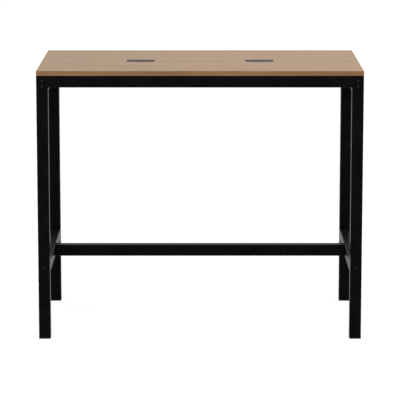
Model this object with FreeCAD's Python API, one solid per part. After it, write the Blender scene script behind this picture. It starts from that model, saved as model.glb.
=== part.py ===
"""Standing meeting table: a banded board with two cable ports on a black square-tube frame.

The origin is on the floor under the middle of the table. +X runs along the table,
-Y is the front and +Z is up. All sizes are in millimetres.
"""
import FreeCAD, Part
import math
import os

from FreeCAD import Placement, Rotation, Vector

# Whole table
table_height = 1050.0
table_length = 1255.0
table_depth = 732.0

# Tabletop
top_thickness = 18.6
edge_band_thickness = 2.0
edge_band_rounding = 1.0
top_corner_radius = 2.0

# Frame tubes
tube_size = 45.0
tube_wall = 1.5
tube_outer_radius = 2.5
tube_inner_radius = 1.0
side_rail_height = 60.0
stretcher_top = 306.0

# Machine bolts and the plates that they screw into
bolt_radius = 3.0
bolt_hole_radius = 3.3
bolt_head_radius = 5.25
bolt_head_height = 3.3
bolt_head_flat_radius = 2.6
bolt_socket_across_flats = 4.0
bolt_socket_depth = 2.0
bolt_length = 55.0
bolt_pair_spacing = 21.0
end_plate_thickness = 6.0

# Tabs that carry the tabletop, and their wood screws
tab_length = 45.0
tab_reach = 30.0
tab_thickness = 3.0
tab_corner_radius = 5.0
tab_hole_radius = 2.6
tab_screw_offset = 17.0
tab_spacing_along_front = 400.0
tab_spacing_along_side = 320.0
wood_screw_radius = 2.0
wood_screw_length = 16.0
wood_screw_head_radius = 4.0
wood_screw_head_height = 2.6
wood_screw_point = 3.0
wood_screw_tip_radius = 0.3
cross_recess_length = 4.4
cross_recess_width = 0.9
cross_recess_depth = 1.5

# How far the side of a domed head bows out, as a share of its height and width
head_bulge = 0.18

# Foot caps and levelling feet
foot_base_height = 5.0
foot_plug_height = 22.0
foot_plug_clearance = 0.2
foot_plug_wall = 2.5
foot_boss_radius = 10.5
foot_pocket_radius = 14.0
foot_pocket_depth = 3.5
foot_bore_radius = 4.4
foot_edge_chamfer = 0.8
nut_across_flats = 13.0
nut_height = 6.5
nut_bore_radius = 4.0
pad_radius = 13.0
pad_height = 3.2
stud_radius = 3.95
stud_length = 34.0
pad_slot_width = 1.6
pad_slot_depth = 1.2

# Cable ports
port_offset = 235.0
port_middle_y = -17.0
port_opening_width = 100.0
port_opening_depth = 68.0
port_opening_radius = 1.0
port_flange_reach = 5.0
port_flange_thickness = 2.0
port_corner_radius = 4.0
port_wall = 2.0
port_collar_depth = 15.0
port_fit_gap = 0.3
port_ledge_size = 8.0
port_ledge_thickness = 2.5
port_screw_drop = 10.0
lid_thickness = 3.0
lid_side_gap = 0.4
lid_ledge_gap = 0.1
lid_barrel_radius = 2.6
lid_barrel_rear_gap = 0.9
lid_pin_gap = 0.05
lid_notch_width = 60.0
lid_notch_depth = 12.0
lid_notch_radius = 3.0
pin_radius = 1.25

# Heights and half sizes that follow from the sizes above
underside = table_height - top_thickness
half_length = table_length / 2
half_depth = table_depth / 2
leg_x = half_length - tube_size / 2
leg_y = half_depth - tube_size / 2
inner_x = half_length - tube_size
inner_y = half_depth - tube_size
stretcher_bottom = stretcher_top - tube_size
stretcher_middle = stretcher_top - tube_size / 2
side_rail_middle = underside - side_rail_height / 2
side_rail_bolt_heights = [side_rail_middle + sign * bolt_pair_spacing / 2 for sign in (-1, 1)]
crossbar_bolt_heights = [stretcher_middle + sign * bolt_pair_spacing / 2 for sign in (-1, 1)]
port_front_y = port_middle_y - port_opening_depth / 2
port_rear_y = port_middle_y + port_opening_depth / 2
lid_front_y = port_front_y + lid_side_gap
lid_axis_y = port_rear_y - lid_barrel_rear_gap - lid_barrel_radius
lid_axis_z = table_height - lid_barrel_radius

X_AXIS, Y_AXIS, Z_AXIS = 0, 1, 2
sides = {"left": -1, "right": 1}
ends = {"front": -1, "rear": 1}


# Basic shapes

def box(low, high):
    return Part.makeBox(high[0] - low[0], high[1] - low[1], high[2] - low[2], Vector(*low))


def edges_along(solid, axis):
    """The straight edges of a box-like solid that run along one axis."""
    return [edge for edge in solid.Edges if abs(edge.tangentAt(edge.FirstParameter)[axis]) > 0.5]


def rounded_bar(low, high, axis, radius):
    """A box whose four edges along one axis are rounded."""
    solid = box(low, high)
    return solid.makeFillet(radius, edges_along(solid, axis))


def square_block(centre, half, bottom, top, radius):
    """An upright block, square in plan, with rounded upright edges."""
    x, y = centre
    return rounded_bar((x - half, y - half, bottom), (x + half, y + half, top), Z_AXIS, radius)


def square_tube(low, high, axis):
    """A hollow section that fills the box from low to high and is open at both ends of its axis."""
    inner_low = [low[i] + (0 if i == axis else tube_wall) for i in range(3)]
    inner_high = [high[i] - (0 if i == axis else tube_wall) for i in range(3)]
    outside = rounded_bar(low, high, axis, tube_outer_radius)
    return outside.cut(rounded_bar(inner_low, inner_high, axis, tube_inner_radius))


def rod(start, direction, length, radius):
    return Part.makeCylinder(radius, length, Vector(*start), Vector(*direction))


def hexagon_prism(across_flats, height):
    """A hexagonal prism that stands on the origin."""
    corner_radius = across_flats / math.sqrt(3)
    corners = []
    for step in range(7):
        angle = math.radians(60 * step)
        corners.append(Vector(corner_radius * math.cos(angle), corner_radius * math.sin(angle), 0))
    return Part.Face(Part.makePolygon(corners)).extrude(Vector(0, 0, height))


def placed(solid, position, direction):
    """A copy whose local -Z points along direction and whose origin is at position."""
    copy = solid.copy()
    copy.Placement = Placement(Vector(*position), Rotation(Vector(0, 0, -1), Vector(*direction)))
    return copy


def cut_all(solid, tools):
    return solid.cut(Part.makeCompound(tools))


# Fasteners, made with the head's seat on the origin and the shank towards -Z

def domed_head(radius, flat_radius, height):
    """A low domed head: its side is one arc from the rim up to the small flat on top."""
    centre = Vector(0, 0, 0)
    top = Vector(0, 0, height)
    rim = Vector(radius, 0, 0)
    flat_edge = Vector(flat_radius, 0, height)
    bulge = (rim + flat_edge) * 0.5 + Vector(height, 0, radius - flat_radius) * head_bulge
    outline = Part.Wire([
        Part.makeLine(centre, rim),
        Part.Arc(rim, bulge, flat_edge).toShape(),
        Part.makeLine(flat_edge, top),
        Part.makeLine(top, centre),
    ])
    return Part.Face(outline).revolve(centre, top, 360)


def machine_bolt():
    """A button-head bolt with a hexagon socket."""
    head = domed_head(bolt_head_radius, bolt_head_flat_radius, bolt_head_height)
    shank = rod((0, 0, 0), (0, 0, -1), bolt_length, bolt_radius)
    socket = hexagon_prism(bolt_socket_across_flats, bolt_socket_depth)
    socket.translate(Vector(0, 0, bolt_head_height - bolt_socket_depth))
    return head.fuse(shank).cut(socket).removeSplitter()


def wood_screw():
    """A pan-head screw with a cross recess and a plain pointed shank."""
    head = domed_head(wood_screw_head_radius, wood_screw_radius, wood_screw_head_height)
    shank_length = wood_screw_length - wood_screw_point
    shank = rod((0, 0, 0), (0, 0, -1), shank_length, wood_screw_radius)
    point = Part.makeCone(wood_screw_radius, wood_screw_tip_radius, wood_screw_point,
                          Vector(0, 0, -shank_length), Vector(0, 0, -1))
    arm_reach = cross_recess_length / 2
    arm_side = cross_recess_width / 2
    recess_bottom = wood_screw_head_height - cross_recess_depth
    arms = [box((-x, -y, recess_bottom), (x, y, wood_screw_head_height))
            for x, y in ((arm_reach, arm_side), (arm_side, arm_reach))]
    return head.fuse([shank, point]).cut(arms[0].fuse(arms[1])).removeSplitter()


# Places that several pieces share

def tab_places():
    """Position at the rail's inner face and inward direction of each fixing tab."""
    places = []
    for end in ends.values():
        for step in (-1, 0, 1):
            places.append(((step * tab_spacing_along_front, end * inner_y, underside), (0, -end, 0)))
    for side in sides.values():
        for step in (-0.5, 0.5):
            places.append(((side * inner_x, step * tab_spacing_along_side, underside), (-side, 0, 0)))
    return places


def tab_screw_point(place):
    position, inward = place
    return [position[i] + inward[i] * tab_screw_offset for i in range(3)]


def port_screw_seats(port_x):
    """Seat and direction of the screws that hold one port's collar to the board."""
    seat_z = table_height - port_screw_drop
    return [((port_x + side * port_opening_width / 2, port_middle_y, seat_z), (side, 0, 0))
            for side in sides.values()]


def port_block(port_x, reach, bottom, top, radius):
    """An upright block over a port that reaches beyond its opening by the same amount all round."""
    half_width = port_opening_width / 2 + reach
    return rounded_bar((port_x - half_width, port_front_y - reach, bottom),
                       (port_x + half_width, port_rear_y + reach, top), Z_AXIS, radius)


# Tabletop

def top_blank():
    """Board and bands together, with the corners and the outer edges rounded."""
    blank = rounded_bar((-half_length, -half_depth, underside), (half_length, half_depth, table_height),
                        Z_AXIS, top_corner_radius)
    rim = [edge for edge in blank.Edges if edge.BoundBox.ZLength < top_thickness / 2]
    return blank.makeFillet(edge_band_rounding, rim)


def band_inner_corner():
    return half_length - edge_band_thickness, half_depth - edge_band_thickness


def tabletop_board():
    """The faced board inside its bands, with the port cut-outs and the screw holes."""
    inner_length, inner_depth = band_inner_corner()
    board = box((-inner_length, -inner_depth, underside), (inner_length, inner_depth, table_height))
    hole_reach = port_wall + port_fit_gap
    rebate_reach = port_flange_reach + port_fit_gap
    rebate_floor = table_height - port_flange_thickness
    tools = []
    for side in sides.values():
        port_x = side * port_offset
        tools.append(port_block(port_x, hole_reach, underside, table_height, port_opening_radius))
        tools.append(port_block(port_x, rebate_reach, rebate_floor, table_height,
                                port_corner_radius + port_fit_gap))
        for seat, direction in port_screw_seats(port_x):
            tools.append(rod(seat, direction, wood_screw_length, wood_screw_radius))
    for place in tab_places():
        x, y, z = tab_screw_point(place)
        tools.append(rod((x, y, z), (0, 0, 1), wood_screw_length - tab_thickness, wood_screw_radius))
    return cut_all(board, tools)


def edge_bands():
    """Front and rear bands run the full length; the left and right ones lie between them."""
    blank = top_blank()
    inner_length, inner_depth = band_inner_corner()
    bands = {}
    for name, end in ends.items():
        near, far = sorted((end * inner_depth, end * half_depth))
        bands[name] = blank.common(box((-half_length, near, underside), (half_length, far, table_height)))
    for name, side in sides.items():
        near, far = sorted((side * inner_length, side * half_length))
        bands[name] = blank.common(box((near, -inner_depth, underside), (far, inner_depth, table_height)))
    return bands


# Frame

def leg(side, end):
    """A leg tube from its foot cap to the underside of the top, drilled front to back."""
    x, y = side * leg_x, end * leg_y
    half = tube_size / 2
    tube = square_tube((x - half, y - half, foot_base_height), (x + half, y + half, underside), Z_AXIS)
    heights = side_rail_bolt_heights + [stretcher_middle]
    return cut_all(tube, [rod((x, y - half, z), (0, 1, 0), tube_size, bolt_hole_radius) for z in heights])


def long_rail(end):
    """A rail along X under the top, between two legs and flush with them."""
    near, far = sorted((end * inner_y, end * half_depth))
    return square_tube((-inner_x, near, underside - tube_size), (inner_x, far, underside), X_AXIS)


def side_rail(side):
    near, far = sorted((side * inner_x, side * half_length))
    return square_tube((near, -inner_y, underside - side_rail_height), (far, inner_y, underside), Y_AXIS)


def side_stretcher(side):
    """A low tube along Y, drilled through at its middle for the crossbar's bolts."""
    near, far = sorted((side * inner_x, side * half_length))
    tube = square_tube((near, -inner_y, stretcher_bottom), (far, inner_y, stretcher_top), Y_AXIS)
    return cut_all(tube, [rod((near, 0, z), (1, 0, 0), tube_size, bolt_hole_radius)
                          for z in crossbar_bolt_heights])


def footrest_crossbar():
    half = tube_size / 2
    return square_tube((-inner_x, -half, stretcher_bottom), (inner_x, half, stretcher_top), X_AXIS)


def end_plate_along_y(side, end, bottom, top, bolt_heights):
    """A threaded plate that fills the mouth of a tube along Y."""
    near_x, far_x = sorted((side * (inner_x + tube_wall), side * (half_length - tube_wall)))
    near_y, far_y = sorted((end * (inner_y - end_plate_thickness), end * inner_y))
    plate = rounded_bar((near_x, near_y, bottom + tube_wall), (far_x, far_y, top - tube_wall),
                        Y_AXIS, tube_inner_radius)
    return cut_all(plate, [rod((side * leg_x, near_y, z), (0, 1, 0), end_plate_thickness, bolt_radius)
                           for z in bolt_heights])


def crossbar_end_plate(side):
    half = tube_size / 2 - tube_wall
    near_x, far_x = sorted((side * (inner_x - end_plate_thickness), side * inner_x))
    plate = rounded_bar((near_x, -half, stretcher_middle - half), (far_x, half, stretcher_middle + half),
                        X_AXIS, tube_inner_radius)
    return cut_all(plate, [rod((near_x, 0, z), (1, 0, 0), end_plate_thickness, bolt_radius)
                           for z in crossbar_bolt_heights])


def leg_bolts(heights):
    """Bolts through the outer faces of all four legs at the given heights."""
    bolt = machine_bolt()
    return [placed(bolt, (side * leg_x, end * half_depth, z), (0, -end, 0))
            for side in sides.values() for end in ends.values() for z in heights]


def crossbar_bolts():
    bolt = machine_bolt()
    return [placed(bolt, (side * half_length, 0, z), (-side, 0, 0))
            for side in sides.values() for z in crossbar_bolt_heights]


def fixing_tab(place):
    """A flat tab that reaches in from a rail, flush with its top, with two rounded free corners."""
    position, inward = place
    half = tab_length / 2
    tab = box((0, -half, -tab_thickness), (tab_reach, half, 0))
    free_corners = [edge for edge in edges_along(tab, Z_AXIS) if edge.BoundBox.XMin > tab_reach / 2]
    tab = tab.makeFillet(tab_corner_radius, free_corners)
    tab = tab.cut(rod((tab_screw_offset, 0, 0), (0, 0, -1), tab_thickness, tab_hole_radius))
    tab.Placement = Placement(Vector(*position), Rotation(Vector(1, 0, 0), Vector(*inward)))
    return tab


def fixing_screws():
    screw = wood_screw()
    screws = []
    for place in tab_places():
        x, y, z = tab_screw_point(place)
        screws.append(placed(screw, (x, y, z - tab_thickness), (0, 0, 1)))
    return screws


# Feet

def foot_cap(side, end):
    """A moulded cap: a base as wide as the tube, a hollow plug inside it and a boss for the stud.

    The nut goes into the boss from below, so that the load on the foot presses it home.
    """
    x, y = side * leg_x, end * leg_y
    half = tube_size / 2
    base = square_block((x, y), half, 0, foot_base_height, tube_outer_radius)
    sole_edges = [edge for edge in base.Edges if edge.BoundBox.ZMax < foot_base_height / 2]
    base = base.makeChamfer(foot_edge_chamfer, sole_edges)
    plug_top = foot_base_height + foot_plug_height
    plug_half = half - tube_wall - foot_plug_clearance
    cup_half = plug_half - foot_plug_wall
    plug = square_block((x, y), plug_half, foot_base_height, plug_top, tube_inner_radius)
    plug = plug.cut(square_block((x, y), cup_half, foot_base_height, plug_top, tube_inner_radius))
    boss = rod((x, y, foot_base_height), (0, 0, 1), foot_plug_height, foot_boss_radius)
    bore = rod((x, y, 0), (0, 0, 1), plug_top, foot_bore_radius)
    pocket = rod((x, y, 0), (0, 0, 1), foot_pocket_depth, foot_pocket_radius)
    nut_seat = hexagon_prism(nut_across_flats, nut_height)
    nut_seat.translate(Vector(x, y, foot_pocket_depth))
    return cut_all(base.fuse([plug, boss]).removeSplitter(), [bore, pocket, nut_seat])


def captive_nut(side, end):
    """The hexagon nut that sits in the underside of a foot cap, above the pad."""
    bore = rod((0, 0, 0), (0, 0, 1), nut_height, nut_bore_radius)
    nut = hexagon_prism(nut_across_flats, nut_height).cut(bore)
    nut.translate(Vector(side * leg_x, end * leg_y, foot_pocket_depth))
    return nut


def levelling_pad(side, end):
    """The round pad under a stud, with a screwdriver slot across its underside."""
    x, y = side * leg_x, end * leg_y
    pad = rod((x, y, 0), (0, 0, 1), pad_height, pad_radius)
    half_slot = pad_slot_width / 2
    slot = box((x - pad_radius, y - half_slot, 0), (x + pad_radius, y + half_slot, pad_slot_depth))
    return pad.cut(slot)


def levelling_stud(side, end):
    return rod((side * leg_x, end * leg_y, pad_height), (0, 0, 1), stud_length, stud_radius)


# Cable ports

def port_frame(port_x):
    """A flush flange and a collar through the board, with two ledges that the lid rests on."""
    half_opening = port_opening_width / 2
    flange_bottom = table_height - port_flange_thickness
    collar_bottom = table_height - port_collar_depth
    flange = port_block(port_x, port_flange_reach, flange_bottom, table_height, port_corner_radius)
    collar = port_block(port_x, port_wall, collar_bottom, table_height, port_opening_radius)
    opening = port_block(port_x, 0, collar_bottom, table_height, port_opening_radius)
    frame = flange.fuse(collar).removeSplitter().cut(opening)
    ledge_top = table_height - lid_thickness - lid_ledge_gap
    ledge_root = port_wall / 2
    ledges = []
    for side in sides.values():
        near, far = sorted((port_x + side * (half_opening - port_ledge_size),
                            port_x + side * (half_opening + ledge_root)))
        ledges.append(box((near, port_front_y - ledge_root, ledge_top - port_ledge_thickness),
                          (far, port_front_y + port_ledge_size, ledge_top)))
    holes = [port_pin(port_x)]
    for seat, direction in port_screw_seats(port_x):
        holes.append(rod(seat, direction, port_wall, wood_screw_radius))
    return cut_all(frame.fuse(ledges).removeSplitter(), holes)


def port_lid(port_x):
    """The flap: a plate with a cable notch at the front and a bored barrel along its rear edge."""
    half_width = port_opening_width / 2 - lid_side_gap
    plate = box((port_x - half_width, lid_front_y, table_height - lid_thickness),
                (port_x + half_width, lid_axis_y, table_height))
    front_corners = [edge for edge in edges_along(plate, Z_AXIS) if edge.BoundBox.YMax < port_middle_y]
    plate = plate.makeFillet(port_opening_radius, front_corners)
    barrel_end = (port_x - half_width, lid_axis_y, lid_axis_z)
    barrel = rod(barrel_end, (1, 0, 0), 2 * half_width, lid_barrel_radius)
    bore = rod(barrel_end, (1, 0, 0), 2 * half_width, pin_radius + lid_pin_gap)
    notch_half = lid_notch_width / 2
    notch_low = (port_x - notch_half, lid_front_y - lid_notch_depth, table_height - lid_thickness)
    notch_high = (port_x + notch_half, lid_front_y + lid_notch_depth, table_height)
    notch = rounded_bar(notch_low, notch_high, Z_AXIS, lid_notch_radius)
    return plate.fuse(barrel).removeSplitter().cut(bore).cut(notch)


def port_pin(port_x):
    """The hinge pin, held at both ends by the collar."""
    reach = port_opening_width / 2 + port_wall
    return rod((port_x - reach, lid_axis_y, lid_axis_z), (1, 0, 0), 2 * reach, pin_radius)


def port_screws():
    screw = wood_screw()
    return [placed(screw, seat, direction) for side in sides.values()
            for seat, direction in port_screw_seats(side * port_offset)]


# Output

def write(name, *solids):
    shape = solids[0] if len(solids) == 1 else Part.makeCompound(list(solids))
    shape.exportStep("parts/" + name + ".step")


def main():
    os.makedirs("parts", exist_ok=True)
    write("tabletop_board", tabletop_board())
    for name, band in edge_bands().items():
        write("edge_band_" + name, band)
    for end_name, end in ends.items():
        write(end_name + "_rail", long_rail(end))
        for side_name, side in sides.items():
            corner = end_name + "_" + side_name
            write("leg_" + corner, leg(side, end))
            write("foot_cap_" + corner, foot_cap(side, end))
            write("levelling_pad_" + corner, levelling_pad(side, end))
            write("levelling_stud_" + corner, levelling_stud(side, end))
    for side_name, side in sides.items():
        port_x = side * port_offset
        write("side_rail_" + side_name, side_rail(side))
        write("side_stretcher_" + side_name, side_stretcher(side))
        write("cable_port_frame_" + side_name, port_frame(port_x))
        write("cable_port_lid_" + side_name, port_lid(port_x))
        write("cable_port_pin_" + side_name, port_pin(port_x))
    write("footrest_crossbar", footrest_crossbar())
    corners = [(side, end) for side in sides.values() for end in ends.values()]
    write("side_rail_end_plates", *[end_plate_along_y(side, end, underside - side_rail_height, underside,
                                                      side_rail_bolt_heights) for side, end in corners])
    write("stretcher_end_plates", *[end_plate_along_y(side, end, stretcher_bottom, stretcher_top,
                                                      [stretcher_middle]) for side, end in corners])
    write("crossbar_end_plates", *[crossbar_end_plate(side) for side in sides.values()])
    write("side_rail_bolts", *leg_bolts(side_rail_bolt_heights))
    write("stretcher_bolts", *leg_bolts([stretcher_middle]))
    write("crossbar_bolts", *crossbar_bolts())
    write("fixing_tabs", *[fixing_tab(place) for place in tab_places()])
    write("fixing_screws", *fixing_screws())
    write("foot_nuts", *[captive_nut(side, end) for side, end in corners])
    write("cable_port_screws", *port_screws())


main()
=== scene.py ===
import math

import bmesh
import bpy
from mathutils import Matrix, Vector


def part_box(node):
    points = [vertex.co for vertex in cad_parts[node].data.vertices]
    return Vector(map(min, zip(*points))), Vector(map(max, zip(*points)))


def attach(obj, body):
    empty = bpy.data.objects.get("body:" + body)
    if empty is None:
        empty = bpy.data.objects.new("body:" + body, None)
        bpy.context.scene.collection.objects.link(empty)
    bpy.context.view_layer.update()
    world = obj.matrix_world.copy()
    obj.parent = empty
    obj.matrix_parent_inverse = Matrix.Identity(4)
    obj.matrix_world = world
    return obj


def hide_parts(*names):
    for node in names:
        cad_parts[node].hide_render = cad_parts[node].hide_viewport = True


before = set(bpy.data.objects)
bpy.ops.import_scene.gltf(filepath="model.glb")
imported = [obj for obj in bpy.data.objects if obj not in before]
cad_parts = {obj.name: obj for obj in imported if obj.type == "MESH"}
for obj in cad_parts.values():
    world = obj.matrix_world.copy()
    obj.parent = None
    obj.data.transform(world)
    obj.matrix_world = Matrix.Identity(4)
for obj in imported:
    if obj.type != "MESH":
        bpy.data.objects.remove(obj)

scene = bpy.context.scene
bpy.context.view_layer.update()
mm = 0.001
corners = [end + "_" + side for end in ("front", "rear") for side in ("left", "right")]


# sRGB hex to the linear colour that nodes and lamps take
def linearColour(hexCode):
    parts = [int(hexCode[i:i + 2], 16) / 255 for i in (1, 3, 5)]
    linear = [p / 12.92 if p <= 0.04045 else ((p + 0.055) / 1.055) ** 2.4 for p in parts]
    return tuple(linear) + (1.0,)


# One node in a shader or geometry tree. inputs holds, by socket, a value, another node's socket or
# a node whose first output is meant. stops are those of a colour ramp, and settings are the node's
# own properties.
def addNode(tree, kind, inputs=None, stops=None, **settings):
    node = tree.nodes.new(kind)
    for name, value in settings.items():
        setattr(node, name, value)
    for socket, value in (inputs or {}).items():
        if isinstance(value, bpy.types.Node):
            value = value.outputs[0]
        if isinstance(value, bpy.types.NodeSocket):
            tree.links.new(value, node.inputs[socket])
        else:
            node.inputs[socket].default_value = value
    for i, (position, colour) in enumerate(stops or []):
        element = node.color_ramp.elements[i] if i < 2 else node.color_ramp.elements.new(position)
        element.position = position
        element.color = linearColour(colour)
    return node


# Stops for a colour ramp, from pairs of a position and the name of one of the colours
def stopsOf(colours, tones):
    return [(position, colours[tone]) for position, tone in tones]


# Camera: straight on, well back and looking down a little
cameraSet = {"fromFront": 8.7478, "height": 2.0857, "lookDown": 9.958, "focalPixels": 2301.5,
             "imagePixels": 400, "sensor": 36.0, "farthest": 100.0}


def makeCamera():
    camera = bpy.data.objects.new("camera", bpy.data.cameras.new("camera"))
    scene.collection.objects.link(camera)
    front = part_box("edge_band_front")[0].y
    camera.location = (0, front - cameraSet["fromFront"], cameraSet["height"])
    camera.rotation_euler = (math.radians(90 - cameraSet["lookDown"]), 0, 0)
    camera.data.sensor_width = cameraSet["sensor"]
    camera.data.lens = cameraSet["focalPixels"] / cameraSet["imagePixels"] * cameraSet["sensor"]
    camera.data.clip_end = cameraSet["farthest"]
    scene.camera = camera
    scene.view_settings.view_transform = "Standard"


# Studio: a white sweep for the eye and for gloss, softer light for the surfaces
studio = {"ambient": "#e8e9ea", "ambientLevel": 0.80, "floorSize": 40.0, "floorGrey": "#8c8c8c",
          "floorGlow": 0.86, "floorBounce": "#c4c2bf", "floorTouch": 1 * mm}
lamps = {
    "overhead_softbox": {"place": (0.9, -0.4, 3.8), "size": 2.6, "watts": 42, "colour": "#fff8ec",
                         "aim": (0.2, 0.0, 0.9)},
    "front_softbox": {"place": (-1.6, -6.0, 2.6), "size": 2.0, "watts": 42, "colour": "#ffffff",
                      "aim": (0.0, 0.0, 0.7)},
    "rear_right_softbox": {"place": (2.2, 2.2, 1.9), "size": 1.2, "watts": 26, "colour": "#a9c4ff",
                           "aim": (0.4, 0.0, 1.05)},
}


# 1 for rays that see the background itself, 0 for the diffuse light that it gives
def backgroundRays(tree):
    ray = addNode(tree, "ShaderNodeLightPath").outputs
    seen = addNode(tree, "ShaderNodeMath", {0: ray["Is Camera Ray"], 1: ray["Is Glossy Ray"]},
                   operation="MAXIMUM")
    return addNode(tree, "ShaderNodeMath", {0: seen, 1: ray["Is Transmission Ray"]},
                   operation="MAXIMUM")


def makeStudio():
    world = bpy.data.worlds.new("studio_sweep")
    scene.world = world
    world.use_nodes = True
    world.cycles.sampling_method = "NONE"
    tree = world.node_tree
    tree.nodes.clear()
    light = addNode(tree, "ShaderNodeBackground", {"Color": linearColour(studio["ambient"]),
                                                   "Strength": studio["ambientLevel"]})
    white = addNode(tree, "ShaderNodeBackground", {"Color": (1, 1, 1, 1), "Strength": 1.0})
    both = addNode(tree, "ShaderNodeMixShader", {0: backgroundRays(tree), 1: light, 2: white})
    addNode(tree, "ShaderNodeOutputWorld", {"Surface": both})
    for name, setting in lamps.items():
        lamp = bpy.data.objects.new(name, bpy.data.lights.new(name, "AREA"))
        scene.collection.objects.link(lamp)
        lamp.data.size = setting["size"]
        lamp.data.energy = setting["watts"]
        lamp.data.color = linearColour(setting["colour"])[:3]
        lamp.location = setting["place"]
        lamp.visible_camera = False
        beam = Vector(setting["aim"]) - Vector(setting["place"])
        lamp.rotation_euler = beam.to_track_quat("-Z", "Y").to_euler()


# The floor glows white to the eye and darkens a little in the table's shadow. It is clear from
# below and to light that starts on what touches it, so the undersides of the feet can be seen.
def makeFloor():
    material = bpy.data.materials.new("white_studio_floor")
    material.use_nodes = True
    tree = material.node_tree
    tree.nodes.clear()
    glow = addNode(tree, "ShaderNodeEmission", {"Color": (1, 1, 1, 1),
                                                "Strength": studio["floorGlow"]})
    shade = addNode(tree, "ShaderNodeBsdfDiffuse", {"Color": linearColour(studio["floorGrey"])})
    seen = addNode(tree, "ShaderNodeAddShader", {0: glow, 1: shade})
    bounce = addNode(tree, "ShaderNodeBsdfDiffuse", {"Color": linearColour(studio["floorBounce"])})
    upper = addNode(tree, "ShaderNodeMixShader", {0: backgroundRays(tree), 1: bounce, 2: seen})
    clear = addNode(tree, "ShaderNodeBsdfTransparent")
    under = addNode(tree, "ShaderNodeNewGeometry").outputs["Backfacing"]
    travelled = addNode(tree, "ShaderNodeLightPath").outputs["Ray Length"]
    touching = addNode(tree, "ShaderNodeMath", {0: travelled, 1: studio["floorTouch"]},
                       operation="LESS_THAN")
    unseen = addNode(tree, "ShaderNodeMath", {0: under, 1: touching}, operation="MAXIMUM")
    surface = addNode(tree, "ShaderNodeMixShader", {0: unseen, 1: upper, 2: clear})
    addNode(tree, "ShaderNodeOutputMaterial", {"Surface": surface})
    mesh = bpy.data.meshes.new("studio_floor")
    half = studio["floorSize"] / 2
    mesh.from_pydata([(-half, -half, 0), (half, -half, 0), (half, half, 0), (-half, half, 0)], [],
                     [(0, 1, 2, 3)])
    mesh.materials.append(material)
    floor = bpy.data.objects.new("studio_floor", mesh)
    scene.collection.objects.link(floor)


makeCamera()
makeStudio()
makeFloor()
print("camera, lamps and floor made")


# Nearly all of a noise's values lie between these two
noiseLow, noiseHigh = 0.3, 0.7


# A bare material, its tree and the object's own coordinates. In all the finishes below, a noise has
# a scale of 1 / size for even blotches, or its place divided by a size (x, y, z) for streaks. A Mix
# of colours has them in sockets 6 and 7 and its result in 2.
def newFinish(name):
    material = bpy.data.materials.new(name)
    material.use_nodes = True
    tree = material.node_tree
    tree.nodes.clear()
    place = addNode(tree, "ShaderNodeTexCoord").outputs["Object"]
    return material, tree, place


# Powder coat on steel tube, black, fine texture: a dry, finely speckled skin that is nearly black
# face on and turns grey where it is seen along its length
powderCoat = {"black": "#080809", "grey": "#1a1a1b", "tones": ((0.38, "black"), (0.62, "grey")),
              "roughness": 0.35, "unevenness": 0.04, "specular": 0.02, "tint": "#a0a0a0",
              "grain": 1.1 * mm, "grainDepth": 0.10 * mm, "grainStrength": 0.6, "speckle": 0.7,
              "patch": 60 * mm, "patchDetail": 3.0}


def blackPowderCoat():
    material, tree, place = newFinish("black_powder_coat")
    patches = addNode(tree, "ShaderNodeTexNoise", {
        "Vector": place, "Scale": 1 / powderCoat["patch"], "Detail": powderCoat["patchDetail"]})
    sheen = addNode(tree, "ShaderNodeMapRange", {
        "Value": patches, "From Min": noiseLow, "From Max": noiseHigh,
        "To Min": powderCoat["roughness"] - powderCoat["unevenness"],
        "To Max": powderCoat["roughness"] + powderCoat["unevenness"]})
    # the real grain is about 0.4 mm, drawn coarser so that it shows
    grain = addNode(tree, "ShaderNodeTexNoise", {"Vector": place, "Scale": 1 / powderCoat["grain"]})
    speckled = addNode(tree, "ShaderNodeMix", {0: powderCoat["speckle"], 2: patches, 3: grain})
    tone = addNode(tree, "ShaderNodeValToRGB", {"Fac": speckled},
                   stops=stopsOf(powderCoat, powderCoat["tones"]))
    bump = addNode(tree, "ShaderNodeBump", {
        "Height": grain, "Strength": powderCoat["grainStrength"],
        "Distance": powderCoat["grainDepth"]})
    shader = addNode(tree, "ShaderNodeBsdfPrincipled", {
        "Base Color": tone, "Roughness": sheen, "Normal": bump,
        "Specular IOR Level": powderCoat["specular"],
        "Specular Tint": linearColour(powderCoat["tint"])})
    addNode(tree, "ShaderNodeOutputMaterial", {"Surface": shader})
    return material


# High-pressure laminate printed as crown-cut walnut: a brown grain along the table, under a dry
# sheen that turns pale when the top is seen from low down
laminate = {
    "light": "#a17d51", "brown": "#946f42", "dark": "#7c5a34", "pore": "#5a4428",
    "leafWidth": 183 * mm, "logLean": 0.035, "startAlong": 7.0,
    "heartOffset": 50 * mm, "heartDepth": 55 * mm, "ringSpacing": 7.5 * mm,
    "ringTones": ((0.0, "light"), (0.12, "light"), (0.62, "brown"), (0.90, "dark"), (1.0, "brown")),
    "swaySize": (420 * mm, 60 * mm, 60 * mm), "sway": 60 * mm,
    "waverSize": (70 * mm, 7 * mm, 7 * mm), "waver": 5 * mm,
    "cloudSize": (500 * mm, 120 * mm, 120 * mm), "cloudShare": 0.45,
    "cloudTones": ((0.30, "dark"), (0.50, "brown"), (0.72, "light")),
    "fibreSize": (90 * mm, 1.1 * mm, 1.1 * mm), "fibreDetail": 3.0, "fibreShare": 0.35,
    "fibreTones": ((0.35, "dark"), (0.60, "light")),
    "poreSize": (14 * mm, 0.45 * mm, 0.45 * mm), "poreDetail": 1.0, "poreShare": 0.6,
    "poreFrom": 0.63, "poreFull": 0.70,
    "relief": 0.05 * mm, "reliefStrength": 0.25, "roughness": 0.46, "unevenness": 0.03}


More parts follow.
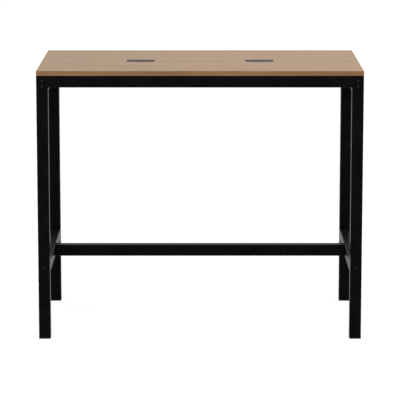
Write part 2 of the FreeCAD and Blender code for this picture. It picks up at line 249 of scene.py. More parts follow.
# The colour and the relief of flat-sawn leaves laid side by side, with their grain along X. Each
# leaf is cut from its own place in a log whose rings run round the X axis.
def walnutFigure(tree, place):
    across = addNode(tree, "ShaderNodeSeparateXYZ", {0: place}).outputs[1]
    leafStart = addNode(tree, "ShaderNodeMath", {0: across, 1: laminate["leafWidth"]},
                        operation="SNAP")
    chance = addNode(tree, "ShaderNodeTexWhiteNoise", {"W": leafStart}, noise_dimensions="1D")
    leafMiddle = addNode(tree, "ShaderNodeMath", {0: leafStart, 1: laminate["leafWidth"] / 2},
                         operation="ADD")
    middle = addNode(tree, "ShaderNodeCombineXYZ", {1: leafMiddle})
    centred = addNode(tree, "ShaderNodeVectorMath", {0: place, 1: middle}, operation="SUBTRACT")
    farthest = (laminate["startAlong"], laminate["heartOffset"], laminate["heartDepth"])
    own = addNode(tree, "ShaderNodeVectorMath", {
        0: chance.outputs["Color"], 1: farthest, 2: centred}, operation="MULTIPLY_ADD")
    # the log lies at a slant, and its rings sway slowly and waver finely
    leaning = addNode(tree, "ShaderNodeMapping", {"Vector": own,
                                                  "Rotation": (0, laminate["logLean"], 0)})
    swayPlace = addNode(tree, "ShaderNodeMapping", {"Vector": own, "Scale": laminate["swaySize"]},
                        vector_type="TEXTURE")
    sway = addNode(tree, "ShaderNodeTexNoise", {"Vector": swayPlace, "Scale": 1.0})
    swayed = addNode(tree, "ShaderNodeVectorMath", {
        0: sway.outputs["Color"], 1: (0, 0, laminate["sway"]), 2: leaning},
        operation="MULTIPLY_ADD")
    waverPlace = addNode(tree, "ShaderNodeMapping", {"Vector": own, "Scale": laminate["waverSize"]},
                         vector_type="TEXTURE")
    waver = addNode(tree, "ShaderNodeTexNoise", {"Vector": waverPlace, "Scale": 1.0})
    log = addNode(tree, "ShaderNodeVectorMath", {
        0: waver.outputs["Color"], 1: (0, 0, laminate["waver"]), 2: swayed},
        operation="MULTIPLY_ADD")
    # a wave texture of scale 1 has a ring every pi / 10
    rings = addNode(tree, "ShaderNodeTexWave", {
        "Vector": log, "Scale": math.pi / 10 / laminate["ringSpacing"]},
        wave_type="RINGS", rings_direction="X", wave_profile="SAW").outputs["Fac"]
    grown = addNode(tree, "ShaderNodeValToRGB", {"Fac": rings},
                    stops=stopsOf(laminate, laminate["ringTones"]))
    cloudPlace = addNode(tree, "ShaderNodeMapping", {"Vector": own, "Scale": laminate["cloudSize"]},
                         vector_type="TEXTURE")
    cloud = addNode(tree, "ShaderNodeTexNoise", {"Vector": cloudPlace, "Scale": 1.0})
    cloudTone = addNode(tree, "ShaderNodeValToRGB", {"Fac": cloud},
                        stops=stopsOf(laminate, laminate["cloudTones"]))
    clouded = addNode(tree, "ShaderNodeMix", {0: laminate["cloudShare"], 6: grown, 7: cloudTone},
                      data_type="RGBA").outputs[2]
    fibrePlace = addNode(tree, "ShaderNodeMapping", {"Vector": own, "Scale": laminate["fibreSize"]},
                         vector_type="TEXTURE")
    fibre = addNode(tree, "ShaderNodeTexNoise", {"Vector": fibrePlace, "Scale": 1.0,
                                                 "Detail": laminate["fibreDetail"]})
    fibreTone = addNode(tree, "ShaderNodeValToRGB", {"Fac": fibre},
                        stops=stopsOf(laminate, laminate["fibreTones"]))
    fibred = addNode(tree, "ShaderNodeMix", {0: laminate["fibreShare"], 6: clouded, 7: fibreTone},
                     data_type="RGBA").outputs[2]
    # only the peaks of a short fine noise are pores
    porePlace = addNode(tree, "ShaderNodeMapping", {"Vector": own, "Scale": laminate["poreSize"]},
                        vector_type="TEXTURE")
    pores = addNode(tree, "ShaderNodeTexNoise", {"Vector": porePlace, "Scale": 1.0,
                                                 "Detail": laminate["poreDetail"]})
    pit = addNode(tree, "ShaderNodeMapRange", {
        "Value": pores, "From Min": laminate["poreFrom"], "From Max": laminate["poreFull"],
        "To Max": laminate["poreShare"]})
    pitted = addNode(tree, "ShaderNodeMix", {0: pit, 6: fibred, 7: linearColour(laminate["pore"])},
                     data_type="RGBA").outputs[2]
    relief = addNode(tree, "ShaderNodeMath", {0: fibre, 1: pit}, operation="SUBTRACT")
    return pitted, relief, fibre


# Faced chipboard under the laminate: pale pressed chips where it is cut, a plain brown backing
# paper below. The skin is the depth to which the laminate and the paper show on a cut.
boardCore = {"skin": 0.8 * mm, "chipDark": "#8e6c45", "chipLight": "#c3a377",
             "chipTones": ((0.35, "chipDark"), (0.62, "chipLight")),
             "chipSize": (4 * mm, 4 * mm, 1.2 * mm),
             "paperWarm": "#7c5a34", "paperGrey": "#6a5743", "paperGrain": 0.9 * mm,
             "paperTones": ((0.2, "paperWarm"), (0.8, "paperGrey"))}


def walnutLaminate():
    material, tree, place = newFinish("walnut_laminate_board")
    wood, relief, fibre = walnutFigure(tree, place)
    low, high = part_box("tabletop_board")
    height = addNode(tree, "ShaderNodeSeparateXYZ", {0: place}).outputs[2]
    isFace = addNode(tree, "ShaderNodeMath", {0: height, 1: high.z - boardCore["skin"]},
                     operation="GREATER_THAN")
    isCore = addNode(tree, "ShaderNodeMath", {0: height, 1: low.z + boardCore["skin"]},
                     operation="GREATER_THAN")
    chipPlace = addNode(tree, "ShaderNodeMapping", {
        "Vector": place, "Scale": boardCore["chipSize"]}, vector_type="TEXTURE")
    chips = addNode(tree, "ShaderNodeTexNoise", {"Vector": chipPlace, "Scale": 1.0})
    core = addNode(tree, "ShaderNodeValToRGB", {"Fac": chips},
                   stops=stopsOf(boardCore, boardCore["chipTones"]))
    paper = addNode(tree, "ShaderNodeTexNoise", {"Vector": place,
                                                 "Scale": 1 / boardCore["paperGrain"]})
    backing = addNode(tree, "ShaderNodeValToRGB", {"Fac": paper},
                      stops=stopsOf(boardCore, boardCore["paperTones"]))
    below = addNode(tree, "ShaderNodeMix", {0: isCore, 6: backing, 7: core},
                    data_type="RGBA").outputs[2]
    colour = addNode(tree, "ShaderNodeMix", {0: isFace, 6: below, 7: wood},
                     data_type="RGBA").outputs[2]
    bump = addNode(tree, "ShaderNodeBump", {
        "Height": relief, "Strength": laminate["reliefStrength"], "Distance": laminate["relief"]})
    sheen = addNode(tree, "ShaderNodeMapRange", {
        "Value": fibre, "From Min": noiseLow, "From Max": noiseHigh,
        "To Min": laminate["roughness"] - laminate["unevenness"],
        "To Max": laminate["roughness"] + laminate["unevenness"]})
    shader = addNode(tree, "ShaderNodeBsdfPrincipled", {"Base Color": colour, "Roughness": sheen,
                                                        "Normal": bump})
    addNode(tree, "ShaderNodeOutputMaterial", {"Surface": shader})
    return material


# ABS edge band, printed to match the laminate and scraped flush: straight streaks along the edge
# and a thin dark glue line beside the board
band = {"light": "#a27245", "brown": "#96693b", "dark": "#815829",
        "tones": ((0.36, "dark"), (0.50, "brown"), (0.62, "light")),
        "streakSize": (160 * mm, 1.0, 2.2 * mm), "streakDetail": 4.0,
        "driftSize": (300 * mm, 1.0, 25 * mm), "driftShare": 0.4,
        "glue": "#4f3720", "glueLine": 0.12 * mm,
        "relief": 0.05 * mm, "reliefStrength": 0.2, "roughness": 0.42}


def walnutEdgeBand():
    material, tree, place = newFinish("walnut_abs_edge_band")
    # less the board's half sizes, the larger of x and y is 0 where the board ends
    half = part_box("tabletop_board")[1]
    folded = addNode(tree, "ShaderNodeVectorMath", {0: place}, operation="ABSOLUTE")
    outward = addNode(tree, "ShaderNodeVectorMath", {0: folded, 1: (half.x, half.y, 0)},
                      operation="SUBTRACT")
    reach = addNode(tree, "ShaderNodeSeparateXYZ", {0: outward}).outputs
    fromBoard = addNode(tree, "ShaderNodeMath", {0: reach[0], 1: reach[1]}, operation="MAXIMUM")
    isGlue = addNode(tree, "ShaderNodeMath", {0: fromBoard, 1: band["glueLine"]},
                     operation="LESS_THAN")
    # along any of the four edges, x + y runs with the edge and z across it
    axes = addNode(tree, "ShaderNodeSeparateXYZ", {0: place}).outputs
    along = addNode(tree, "ShaderNodeMath", {0: axes[0], 1: axes[1]}, operation="ADD")
    strip = addNode(tree, "ShaderNodeCombineXYZ", {0: along, 2: axes[2]})
    streakPlace = addNode(tree, "ShaderNodeMapping", {"Vector": strip, "Scale": band["streakSize"]},
                          vector_type="TEXTURE")
    streaks = addNode(tree, "ShaderNodeTexNoise", {"Vector": streakPlace, "Scale": 1.0,
                                                   "Detail": band["streakDetail"]})
    driftPlace = addNode(tree, "ShaderNodeMapping", {"Vector": strip, "Scale": band["driftSize"]},
                         vector_type="TEXTURE")
    drift = addNode(tree, "ShaderNodeTexNoise", {"Vector": driftPlace, "Scale": 1.0})
    figure = addNode(tree, "ShaderNodeMix", {0: band["driftShare"], 2: streaks, 3: drift})
    grown = addNode(tree, "ShaderNodeValToRGB", {"Fac": figure}, stops=stopsOf(band, band["tones"]))
    colour = addNode(tree, "ShaderNodeMix", {0: isGlue, 6: grown, 7: linearColour(band["glue"])},
                     data_type="RGBA").outputs[2]
    bump = addNode(tree, "ShaderNodeBump", {"Height": streaks, "Strength": band["reliefStrength"],
                                            "Distance": band["relief"]})
    shader = addNode(tree, "ShaderNodeBsdfPrincipled", {
        "Base Color": colour, "Roughness": band["roughness"], "Normal": bump})
    addNode(tree, "ShaderNodeOutputMaterial", {"Surface": shader})
    return material


# Injection-moulded plastics with a fine spark texture from the mould, dull and a little greyer
# where the light runs along them: ABS in the cable ports, nylon in the foot caps and pads
plastic = {"abs": {"dark": "#131316", "light": "#222224", "roughness": 0.52, "specular": 0.14},
           "nylon": {"dark": "#0b0b0c", "light": "#1a1a1b", "roughness": 0.55, "specular": 0.20},
           "tones": ((0.38, "dark"), (0.62, "light")), "flow": 35 * mm, "unevenness": 0.03,
           "spark": 0.6 * mm, "sparkDetail": 1.0, "sparkDepth": 0.05 * mm, "sparkStrength": 0.5,
           "speckle": 0.6}


def mouldedPlastic(name, kind):
    material, tree, place = newFinish(name)
    flow = addNode(tree, "ShaderNodeTexNoise", {"Vector": place, "Scale": 1 / plastic["flow"]})
    sheen = addNode(tree, "ShaderNodeMapRange", {
        "Value": flow, "From Min": noiseLow, "From Max": noiseHigh,
        "To Min": plastic[kind]["roughness"] - plastic["unevenness"],
        "To Max": plastic[kind]["roughness"] + plastic["unevenness"]})
    # the real spark texture is about 0.2 mm, drawn coarser so that it shows
    spark = addNode(tree, "ShaderNodeTexNoise", {"Vector": place, "Scale": 1 / plastic["spark"],
                                                 "Detail": plastic["sparkDetail"]})
    speckled = addNode(tree, "ShaderNodeMix", {0: plastic["speckle"], 2: flow, 3: spark})
    tone = addNode(tree, "ShaderNodeValToRGB", {"Fac": speckled},
                   stops=stopsOf(plastic[kind], plastic["tones"]))
    bump = addNode(tree, "ShaderNodeBump", {"Height": spark, "Strength": plastic["sparkStrength"],
                                            "Distance": plastic["sparkDepth"]})
    shader = addNode(tree, "ShaderNodeBsdfPrincipled", {
        "Base Color": tone, "Roughness": sheen, "Normal": bump,
        "Specular IOR Level": plastic[kind]["specular"]})
    addNode(tree, "ShaderNodeOutputMaterial", {"Surface": shader})
    return material


# Steel as its makers leave it: dark satin black oxide on the bolts, bright mottled zinc on screws,
# studs, pins and nuts, and dull grey rolled plate inside the tubes
steel = {"oxide": {"dark": "#222224", "light": "#2e2e30", "roughness": 0.34, "patch": 3 * mm},
         "zinc": {"dark": "#a9adb1", "light": "#c4c7ca", "roughness": 0.30, "patch": 6 * mm},
         "rolled": {"dark": "#5c5d60", "light": "#77787b", "roughness": 0.50, "patch": 25 * mm},
         "tones": ((0.35, "dark"), (0.65, "light")), "mottleDetail": 4.0, "smoother": 0.06,
         "rougher": 0.08, "pitting": 0.5 * mm, "pitDepth": 0.02 * mm, "pitStrength": 0.3}


def steelFinish(name, kind):
    material, tree, place = newFinish(name)
    mottle = addNode(tree, "ShaderNodeTexNoise", {
        "Vector": place, "Scale": 1 / steel[kind]["patch"], "Detail": steel["mottleDetail"]})
    tone = addNode(tree, "ShaderNodeValToRGB", {"Fac": mottle},
                   stops=stopsOf(steel[kind], steel["tones"]))
    sheen = addNode(tree, "ShaderNodeMapRange", {
        "Value": mottle, "From Min": noiseLow, "From Max": noiseHigh,
        "To Min": steel[kind]["roughness"] - steel["smoother"],
        "To Max": steel[kind]["roughness"] + steel["rougher"]})
    pitting = addNode(tree, "ShaderNodeTexNoise", {"Vector": place, "Scale": 1 / steel["pitting"]})
    bump = addNode(tree, "ShaderNodeBump", {"Height": pitting, "Strength": steel["pitStrength"],
                                            "Distance": steel["pitDepth"]})
    shader = addNode(tree, "ShaderNodeBsdfPrincipled", {
        "Base Color": tone, "Roughness": sheen, "Normal": bump, "Metallic": 1.0})
    addNode(tree, "ShaderNodeOutputMaterial", {"Surface": shader})
    return material


coat = blackPowderCoat()
board = walnutLaminate()
edging = walnutEdgeBand()
absBlack = mouldedPlastic("black_moulded_abs", "abs")
nylonBlack = mouldedPlastic("black_moulded_nylon", "nylon")
oxide = steelFinish("black_oxide_steel", "oxide")
zinc = steelFinish("zinc_plated_steel", "zinc")
rolled = steelFinish("bare_rolled_steel", "rolled")

frameTubes = ["leg_" + corner for corner in corners] + [
    "front_rail", "rear_rail", "side_rail_left", "side_rail_right", "side_stretcher_left",
    "side_stretcher_right", "footrest_crossbar"]
finishes = [
    (board, ["tabletop_board"]),
    (edging, ["edge_band_" + place for place in ("front", "rear", "left", "right")]),
    (coat, frameTubes),
    (rolled, ["side_rail_end_plates", "stretcher_end_plates", "crossbar_end_plates"]),
]
for finish, names in finishes:
    for name in names:
        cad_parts[name].data.materials.clear()
        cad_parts[name].data.materials.append(finish)
print("finishes made and given to the frame's own nodes")


# A new object from a mesh, in its finish, on its body and in place of its CAD node
def settle(name, mesh, finish, body, slotName, *nodes):
    piece = bpy.data.objects.new(name, mesh)
    scene.collection.objects.link(piece)
    mesh.materials.clear()
    mesh.materials.append(finish)
    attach(piece, body)
    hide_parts(*nodes)
    return piece


# Points nearer than sameSpot are one, and faces that meet at less than flatUpTo degrees are one
merging = {"sameSpot": 0.001 * mm, "flatUpTo": 0.5}


# The merged shape of a CAD node, its triangles joined into whole faces
def mergedShape(node):
    form = bmesh.new()
    form.from_mesh(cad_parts[node].data)
    bmesh.ops.remove_doubles(form, verts=form.verts, dist=merging["sameSpot"])
    bmesh.ops.dissolve_limit(form, angle_limit=math.radians(merging["flatUpTo"]), verts=form.verts,
                             edges=form.edges)
    return form


# Rounded edges on the moulded and pressed pieces: the width of each piece's rounding. Only edges
# that stand out and turn by more than sharpFrom degrees are rounded, and not the mouths of the
# hinge pin's bores, where there is no room for it.
softEdges = {"segments": 3, "sharpFrom": 40, "portFrame": 0.45 * mm, "portLid": 0.6 * mm,
             "pin": 0.25 * mm, "footCap": 0.35 * mm, "footPad": 0.6 * mm, "nut": 0.35 * mm,
             "tab": 0.3 * mm, "roomForPin": 1.0 * mm}


# pinBox is the lowest and the highest corner of the pin beside which the edges stay sharp
def softenedPiece(name, node, width, finish, body, slotName, pinBox=None):
    form = mergedShape(node)
    room = softEdges["roomForPin"]
    share = form.edges.layers.float.new("bevel_weight_edge")
    for edge in form.edges:
        if edge.calc_face_angle(0.0) > math.radians(softEdges["sharpFrom"]):
            middle = (edge.verts[0].co + edge.verts[1].co) / 2
            besidePin = pinBox is not None and all(
                pinBox[0][i] - room < middle[i] < pinBox[1][i] + room for i in range(3))
            if edge.is_convex and not besidePin:
                edge[share] = 1.0
            else:
                edge.smooth = False
    mesh = bpy.data.meshes.new(name)
    form.to_mesh(mesh)
    form.free()
    if "custom_normal" in mesh.attributes:
        mesh.attributes.remove(mesh.attributes["custom_normal"])
    mesh.shade_smooth()
    piece = settle(name, mesh, finish, body, slotName, node)
    rounding = piece.modifiers.new("rounded_edges", "BEVEL")
    rounding.width = width
    rounding.segments = softEdges["segments"]
    rounding.limit_method = "WEIGHT"
    rounding.harden_normals = True
    # the limit would shrink every rounding to suit the tightest spot, and a slide would skew it
    rounding.use_clamp_overlap = False
    rounding.loop_slide = False


for side in ("left", "right"):
    softenedPiece("port_flange_" + side, "cable_port_frame_" + side, softEdges["portFrame"],
                  absBlack, "table", "black_abs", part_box("cable_port_pin_" + side))
    softenedPiece("port_flap_" + side, "cable_port_lid_" + side, softEdges["portLid"], absBlack,
                  "port_lid_" + side, "black_abs")
    softenedPiece("port_pin_" + side, "cable_port_pin_" + side, softEdges["pin"], zinc,
                  "table", "zinc_plated_steel")
for corner in corners:
    softenedPiece("leg_cap_" + corner, "foot_cap_" + corner, softEdges["footCap"], nylonBlack,
                  "table", "black_nylon")
    softenedPiece("foot_pad_" + corner, "levelling_pad_" + corner, softEdges["footPad"], nylonBlack,
                  "foot_" + corner, "black_nylon")
softenedPiece("top_fixing_tabs", "fixing_tabs", softEdges["tab"], coat,
              "table", "black_powder_coat")
softenedPiece("captive_nuts", "foot_nuts", softEdges["nut"], zinc, "table", "zinc_plated_steel")
print("moulded and pressed pieces rounded")


# A closed skin over rings of points, with a flat fan of faces in the first and the last ring. It is
# smooth, apart from edges that turn by more than sharpFrom degrees.
def skinOver(name, rings, sharpFrom):
    form = bmesh.new()
    loops = [[form.verts.new(point) for point in ring] for ring in rings]
    count = len(loops[0])
    for lower, upper in zip(loops, loops[1:]):
        for i in range(count):
            j = (i + 1) % count
            form.faces.new((lower[i], lower[j], upper[j], upper[i]))
    for loop in (loops[0], loops[-1]):
        middle = form.verts.new(sum((vert.co for vert in loop), Vector()) / count)
        for i in range(count):
            form.faces.new((loop[i], loop[(i + 1) % count], middle))
    bmesh.ops.recalc_face_normals(form, faces=form.faces)
    mesh = bpy.data.meshes.new(name)
    form.to_mesh(mesh)
    form.free()
    mesh.shade_smooth()
    mesh.set_sharp_from_angle(angle=math.radians(sharpFrom))
    return mesh


# count points round the Z axis at a height, with a radius for each direction
def ringOf(count, height, radiusAt):
    ring = []
    for i in range(count):
        angle = math.tau * i / count
        radius = radiusAt(angle)
        ring.append((radius * math.cos(angle), radius * math.sin(angle), height))
    return ring


# Levelling stud, M8 with a rolled thread. A tooth rises evenly from 0 at the root to 1 at the
# crest; its flank is steeper than that, with what is beyond cut off flat at the root and the crest.
stud = {"majorRadius": 3.95 * mm, "threadDepth": 0.75 * mm, "pitch": 1.25 * mm, "ringsPerTurn": 10,
        "around": 36, "chamfer": 1.0 * mm, "flank": 2.4, "rootCut": 0.5, "sharpFrom": 60}


def threadRadius(z, angle):
    turn = (z / stud["pitch"] - angle / math.tau) % 1.0
    tooth = 1 - abs(2 * turn - 1)
    crest = min(1.0, max(0.0, stud["flank"] * tooth - stud["rootCut"]))
    return stud["majorRadius"] - stud["threadDepth"] * (1 - crest)


def studRings(low, high):
    middle = (low + high) / 2
    length = high.z - low.z
    steps = round(length / stud["pitch"] * stud["ringsPerTurn"])
    rings = []
    for step in range(steps + 1):
        z = low.z + length * step / steps
        fromEnd = min(z - low.z, high.z - z) / stud["chamfer"]
        limit = stud["majorRadius"] - stud["threadDepth"] * max(0.0, 1 - fromEnd)
        ring = ringOf(stud["around"], z, lambda angle: min(limit, threadRadius(z, angle)))
        rings.append([(x + middle.x, y + middle.y, z) for x, y, z in ring])
    return rings


for corner in corners:
    name = "threaded_stud_" + corner
    rings = studRings(*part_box("levelling_stud_" + corner))
    settle(name, skinOver(name, rings, stud["sharpFrom"]), zinc, "foot_" + corner,
           "zinc_plated_steel", "levelling_stud_" + corner)
print("stud threads cut")


# A Geometry Nodes tree with named inputs, each given as name: (socket type, default)
def newShapeTree(name, inputs):
    tree = bpy.data.node_groups.new(name, "GeometryNodeTree")
    tree.interface.new_socket("Geometry", in_out="INPUT", socket_type="NodeSocketGeometry")
    tree.interface.new_socket("Geometry", in_out="OUTPUT", socket_type="NodeSocketGeometry")
    for title, (kind, value) in inputs.items():
        socket = tree.interface.new_socket(title, in_out="INPUT", socket_type=kind)
        if value is not None:
            socket.default_value = value
    return tree, addNode(tree, "NodeGroupInput").outputs


# The plain mesh that a tree makes of some points and edges
def shapedMesh(name, seedMesh, tree, values):
    seed = bpy.data.objects.new(name, seedMesh)
    scene.collection.objects.link(seed)
    modifier = seed.modifiers.new("shape", "NODES")
    modifier.node_group = tree
    for socket in tree.interface.items_tree:
        if socket.in_out == "INPUT" and socket.name in values:
            modifier[socket.identifier] = values[socket.name]
    seen = seed.evaluated_get(bpy.context.evaluated_depsgraph_get())
    mesh = bpy.data.meshes.new_from_object(seen)
    seed.modifiers.remove(modifier)
    bpy.data.objects.remove(seed)
    return mesh


# Bolts and screws, modelled once each with the head's seat at the origin and its head up, then set
# by the tree at every place that the frame has one, each turned as chance left it
fastener = {"around": 96, "domeSteps": 7, "bulge": 0.18, "edge": 0.25 * mm, "mouth": 0.2 * mm,
            "rim": 0.02 * mm, "recessFloor": 0.35 * mm, "floorShare": 0.15, "sharpFrom": 30}
machineBolt = {"head": 5.25 * mm, "flat": 2.6 * mm, "height": 3.3 * mm, "shank": 3.0 * mm,
               "length": 55 * mm, "point": 0.8 * mm, "tip": 2.3 * mm, "recessDepth": 2.0 * mm,
               "socketFlats": 4.0 * mm}
woodScrew = {"head": 4.0 * mm, "flat": 2.35 * mm, "height": 2.6 * mm, "shank": 1.9 * mm,
             "length": 16 * mm, "point": 3.0 * mm, "tip": 0.3 * mm, "recessDepth": 1.5 * mm,
             "crossLength": 4.4 * mm, "crossWidth": 0.9 * mm}


# How far the bolt's hexagon socket and the screw's cross recess reach in each direction
def hexagonRadius(angle):
    fromFlat = (angle + math.pi / 6) % (math.pi / 3) - math.pi / 6
    return machineBolt["socketFlats"] / 2 / math.cos(fromFlat)


def crossRadius(angle):
    fromArm = abs((angle + math.pi / 4) % (math.pi / 2) - math.pi / 4)
    reach = woodScrew["crossLength"] / 2 / math.cos(fromArm)
    halfWidth = woodScrew["crossWidth"] / 2
    return reach if reach * math.sin(fromArm) <= halfWidth else halfWidth / math.sin(fromArm)


def fastenerMesh(name, kind, recessRadius):
    edge = fastener["edge"]
    top = kind["height"]
    slope = (kind["flat"] - kind["head"], top - edge)
    outline = [(kind["tip"], -kind["length"]), (kind["shank"], kind["point"] - kind["length"]),
               (kind["shank"], 0.0), (kind["head"] - edge, 0.0), (kind["head"], edge)]
    # the side of the head bows out from the rim to the flat, furthest half way up
    for step in range(1, fastener["domeSteps"]):
        share = step / fastener["domeSteps"]
        bow = fastener["bulge"] * 4 * share * (1 - share)
        radius = kind["head"] + slope[0] * share + bow * slope[1]
        height = edge + slope[1] * share - bow * slope[0]
        outline.append((min(radius, kind["head"]), min(height, top)))
    outline.append((kind["flat"], top))
    rings = [ringOf(fastener["around"], height, lambda angle: radius) for radius, height in outline]
    # down into the recess: its flared mouth, its wall and its pointed floor
    floor = top - kind["recessDepth"]
    widest = kind["flat"] - fastener["rim"]
    for height, flare, share in ((top, fastener["mouth"], 1.0),
                                 (top - fastener["mouth"], 0.0, 1.0),
                                 (floor, 0.0, 1.0),
                                 (floor - fastener["recessFloor"], 0.0, fastener["floorShare"])):
        rings.append(ringOf(fastener["around"], height,
                            lambda angle: min(recessRadius(angle) * share + flare, widest)))
    return skinOver(name, rings, fastener["sharpFrom"])


def fastenerTree():
    tree, entry = newShapeTree("set_fasteners", {
        "Fastener": ("NodeSocketObject", None), "Turn seed": ("NodeSocketInt", 7),
        "Finish": ("NodeSocketMaterial", None)})
    blank = addNode(tree, "GeometryNodeObjectInfo", {"Object": entry["Fastener"],
                                                     "As Instance": True})
    facing = addNode(tree, "GeometryNodeInputNamedAttribute", {"Name": "facing"},
                     data_type="FLOAT_VECTOR")
    upright = addNode(tree, "FunctionNodeAlignRotationToVector", {"Vector": facing}, axis="Z")
    placed = addNode(tree, "GeometryNodeInstanceOnPoints", {
        "Points": entry["Geometry"], "Instance": blank.outputs["Geometry"], "Rotation": upright})
    # a random number has its upper limit in socket 3 and comes out of socket 1
    turn = addNode(tree, "FunctionNodeRandomValue", {3: math.tau, "Seed": entry["Turn seed"]},
                   data_type="FLOAT")
    spin = addNode(tree, "ShaderNodeCombineXYZ", {2: turn.outputs[1]})
    turned = addNode(tree, "GeometryNodeRotateInstances", {"Instances": placed, "Rotation": spin,
                                                           "Local Space": True})
    single = addNode(tree, "GeometryNodeRealizeInstances", {"Geometry": turned})
    dressed = addNode(tree, "GeometryNodeSetMaterial", {"Geometry": single,
                                                        "Material": entry["Finish"]})
    addNode(tree, "NodeGroupOutput", {"Geometry": dressed})
    return tree


# The solids of a merged shape, each as the list of its points
def separateSolids(form):
    unseen = set(form.verts)
    solids = []
    while unseen:
        points = []
        reached = [unseen.pop()]
        while reached:
            vert = reached.pop()
            points.append(vert.co.copy())
            for edge in vert.link_edges:
                other = edge.other_vert(vert)
                if other in unseen:
                    unseen.remove(other)
                    reached.append(other)
        solids.append(points)
    return solids


# Seat and facing of each fastener in a CAD node: the long axis of its solid is the fastener's own,
# and its head is at the end where the widest point lies
def fastenerPlaces(node, headHeight):
    form = mergedShape(node)
    places = []
    for points in separateSolids(form):
        low = Vector([min(point[i] for point in points) for i in range(3)])
        high = Vector([max(point[i] for point in points) for i in range(3)])
        middle = (low + high) / 2
        axis = max(range(3), key=lambda i: high[i] - low[i])
        others = [i for i in range(3) if i != axis]
        widest = max(points, key=lambda point: sum((point[i] - middle[i]) ** 2 for i in others))
        facing = Vector((0, 0, 0))
        facing[axis] = 1 if widest[axis] > middle[axis] else -1
        seat = middle.copy()
        seat[axis] = (high if facing[axis] > 0 else low)[axis] - facing[axis] * headHeight
        places.append((seat, facing))
    form.free()
    # sorted by their seats to 0.1 mm, so that each fastener always gets the same turn
    return sorted(places, key=lambda placed: tuple(round(value, 4) for value in placed[0]))


def setFasteners(name, node, blank, kind, tree, finish, slotName, seed):
    places = fastenerPlaces(node, kind["height"])
    seeds = bpy.data.meshes.new(name + "_places")
    seeds.from_pydata([seat for seat, facing in places], [], [])
    facings = seeds.attributes.new("facing", "FLOAT_VECTOR", "POINT")
    for i, (seat, facing) in enumerate(places):
        facings.data[i].vector = facing
    mesh = shapedMesh(name, seeds, tree, {"Fastener": blank, "Turn seed": seed, "Finish": finish})
    settle(name, mesh, finish, "table", slotName, node)


boltMesh = fastenerMesh("bolt_blank", machineBolt, hexagonRadius)
screwMesh = fastenerMesh("screw_blank", woodScrew, crossRadius)
boltBlank = bpy.data.objects.new("bolt_blank", boltMesh)
screwBlank = bpy.data.objects.new("screw_blank", screwMesh)
setTree = fastenerTree()
for name, node, seed in (("button_bolts_side_rails", "side_rail_bolts", 3),
                         ("button_bolts_stretchers", "stretcher_bolts", 4),
                         ("button_bolts_crossbar", "crossbar_bolts", 5)):
    setFasteners(name, node, boltBlank, machineBolt, setTree, oxide, "black_oxide_steel", seed)
for name, node, seed in (("pan_screws_tabs", "fixing_screws", 6),
                         ("pan_screws_ports", "cable_port_screws", 7)):
    setFasteners(name, node, screwBlank, woodScrew, setTree, zinc, "zinc_plated_steel", seed)
bpy.data.objects.remove(boltBlank)
bpy.data.objects.remove(screwBlank)
print("bolts and screws set")


# Weld beads: fillets under the rails and the tabs, and beads ground nearly flush where the faces of
# a rail and a leg meet
weld = {"fillet": 2.3 * mm, "tabFillet": 1.8 * mm, "ground": 2.2 * mm, "groundProud": 0.25 * mm,
        "groundIn": 1.1 * mm, "cornerShare": 0.25, "cornerGap": 4.0 * mm, "tabHalf": 19 * mm,
        "ripplePitch": 1.6 * mm, "rippleDepth": 0.14, "stepsPerRipple": 5, "bluntEnd": 0.12,
        "around": 14}


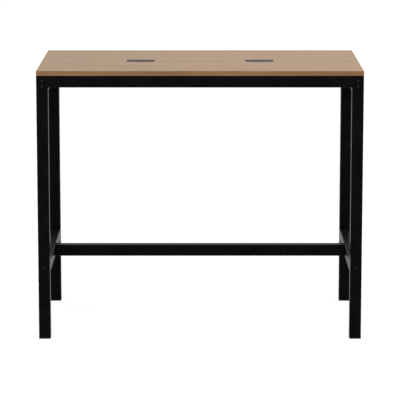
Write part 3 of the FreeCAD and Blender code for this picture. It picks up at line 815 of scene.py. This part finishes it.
def weldTree():
    tree, entry = newShapeTree("lay_weld_beads", {
        "Ripple pitch": ("NodeSocketFloat", weld["ripplePitch"]),
        "Ripple depth": ("NodeSocketFloat", weld["rippleDepth"]),
        "Bead resolution": ("NodeSocketInt", weld["around"]),
        "Finish": ("NodeSocketMaterial", None)})
    path = addNode(tree, "GeometryNodeMeshToCurve", {"Mesh": entry["Geometry"]})
    step = addNode(tree, "ShaderNodeMath", {0: entry["Ripple pitch"], 1: weld["stepsPerRipple"]},
                   operation="DIVIDE")
    fine = addNode(tree, "GeometryNodeResampleCurve", {"Curve": path, "Length": step},
                   mode="LENGTH")
    own = addNode(tree, "GeometryNodeInputNamedAttribute", {"Name": "beadRadius"},
                  data_type="FLOAT")
    along = addNode(tree, "GeometryNodeSplineParameter").outputs["Length"]
    whole = addNode(tree, "GeometryNodeSplineLength")
    # each ripple is a crescent: a rise and a sharp fall
    turns = addNode(tree, "ShaderNodeMath", {0: along, 1: entry["Ripple pitch"]},
                    operation="DIVIDE")
    phase = addNode(tree, "ShaderNodeMath", {0: turns}, operation="FRACT")
    dip = addNode(tree, "ShaderNodeMath", {0: phase, 1: phase}, operation="MULTIPLY")
    cut = addNode(tree, "ShaderNodeMath", {0: dip, 1: entry["Ripple depth"]}, operation="MULTIPLY")
    swell = addNode(tree, "ShaderNodeMath", {0: 1.0, 1: cut}, operation="SUBTRACT")
    # both ends are rounded off over one radius
    fromEnd = addNode(tree, "ShaderNodeMath", {0: whole, 1: along}, operation="SUBTRACT")
    nearest = addNode(tree, "ShaderNodeMath", {0: fromEnd, 1: along}, operation="MINIMUM")
    share = addNode(tree, "ShaderNodeMath", {0: nearest, 1: own}, operation="DIVIDE",
                    use_clamp=True)
    rounded = addNode(tree, "ShaderNodeMath", {0: share}, operation="SQRT")
    taper = addNode(tree, "ShaderNodeMath", {0: rounded, 1: weld["bluntEnd"]}, operation="MAXIMUM")
    rippled = addNode(tree, "ShaderNodeMath", {0: own, 1: swell}, operation="MULTIPLY")
    radius = addNode(tree, "ShaderNodeMath", {0: rippled, 1: taper}, operation="MULTIPLY")
    profile = addNode(tree, "GeometryNodeCurvePrimitiveCircle", {
        "Resolution": entry["Bead resolution"], "Radius": 1.0})
    bead = addNode(tree, "GeometryNodeCurveToMesh", {"Curve": fine, "Profile Curve": profile,
                                                     "Scale": radius, "Fill Caps": True})
    smooth = addNode(tree, "GeometryNodeSetShadeSmooth", {"Geometry": bead})
    single = addNode(tree, "GeometryNodeRealizeInstances", {"Geometry": smooth})
    dressed = addNode(tree, "GeometryNodeSetMaterial", {"Geometry": single,
                                                        "Material": entry["Finish"]})
    addNode(tree, "NodeGroupOutput", {"Geometry": dressed})
    return tree


# Start, end and radius of each bead between the front or rear rail and a leg
def railRuns():
    runs = []
    for corner in corners:
        low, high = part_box("leg_" + corner)
        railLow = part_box("front_rail" if corner.startswith("front") else "rear_rail")[0].z
        inward = 1 if low.x < 0 else -1
        legSide = high.x if low.x < 0 else low.x
        off = weld["cornerShare"] * weld["fillet"]
        x = legSide + inward * off
        runs.append(((x, low.y + weld["cornerGap"], railLow - off),
                     (x, high.y - weld["cornerGap"], railLow - off), weld["fillet"]))
        seam = legSide - inward * weld["groundIn"]
        sunk = weld["ground"] - weld["groundProud"]
        for y in (low.y + sunk, high.y - sunk):
            runs.append(((seam, y, railLow + weld["cornerGap"]), (seam, y, high.z), weld["ground"]))
    return runs


# Each fixing tab is welded along the line where its underside meets the rail
def tabRuns():
    runs = []
    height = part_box("fixing_tabs")[0].z
    off = weld["cornerShare"] * weld["tabFillet"]
    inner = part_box("leg_front_left")[1]
    for seat, facing in fastenerPlaces("fixing_screws", woodScrew["height"]):
        alongX = abs(abs(seat.y) - abs(inner.y)) < abs(abs(seat.x) - abs(inner.x))
        x = math.copysign(abs(inner.x) - off, seat.x)
        y = math.copysign(abs(inner.y) - off, seat.y)
        ends = []
        for reach in (-weld["tabHalf"], weld["tabHalf"]):
            if alongX:
                ends.append((seat.x + reach, y, height - off))
            else:
                ends.append((x, seat.y + reach, height - off))
        runs.append((ends[0], ends[1], weld["tabFillet"]))
    return runs


def layWelds():
    points = []
    edges = []
    radii = []
    for start, end, radius in railRuns() + tabRuns():
        edges.append((len(points), len(points) + 1))
        points += [start, end]
        radii += [radius, radius]
    seeds = bpy.data.meshes.new("weld_paths")
    seeds.from_pydata(points, edges, [])
    own = seeds.attributes.new("beadRadius", "FLOAT", "POINT")
    own.data.foreach_set("value", radii)
    mesh = shapedMesh("weld_beads", seeds, weldTree(), {"Finish": coat})
    settle("weld_beads", mesh, coat, "table", "black_powder_coat")


layWelds()
print("welds laid")
